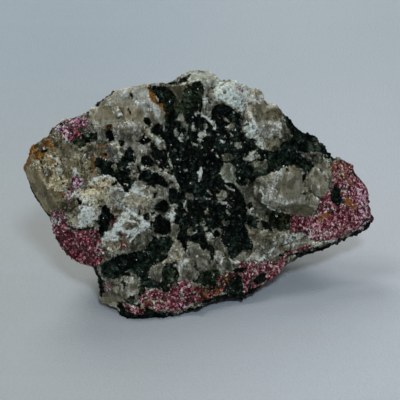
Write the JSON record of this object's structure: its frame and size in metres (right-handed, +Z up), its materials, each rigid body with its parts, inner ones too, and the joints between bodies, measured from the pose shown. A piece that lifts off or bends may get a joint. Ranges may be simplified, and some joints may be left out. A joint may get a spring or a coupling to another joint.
{
  "type": "raw lepidolite specimen",
  "caption": "Rough broken lump of lepidolite pegmatite, with grey quartz, black tourmaline and pink mica on one leaning fracture face, resting on a flat of its underside.",
  "frame": {"origin": "middle of the lump's footprint, on the surface it rests on", "axes": "+X along the lump's length, to the right as the fracture face is seen; -Y out of the fracture face; +Z up"},
  "size_m": [0.0916, 0.0515, 0.0533],
  "materials": {
    "pegmatite": "rough broken stone: glassy grey quartz, dull black-green tourmaline and glittering pink mica scales"
  },
  "bodies": {
    "root": {"lepidolite_specimen": "pegmatite"}
  },
  "joints": []
}
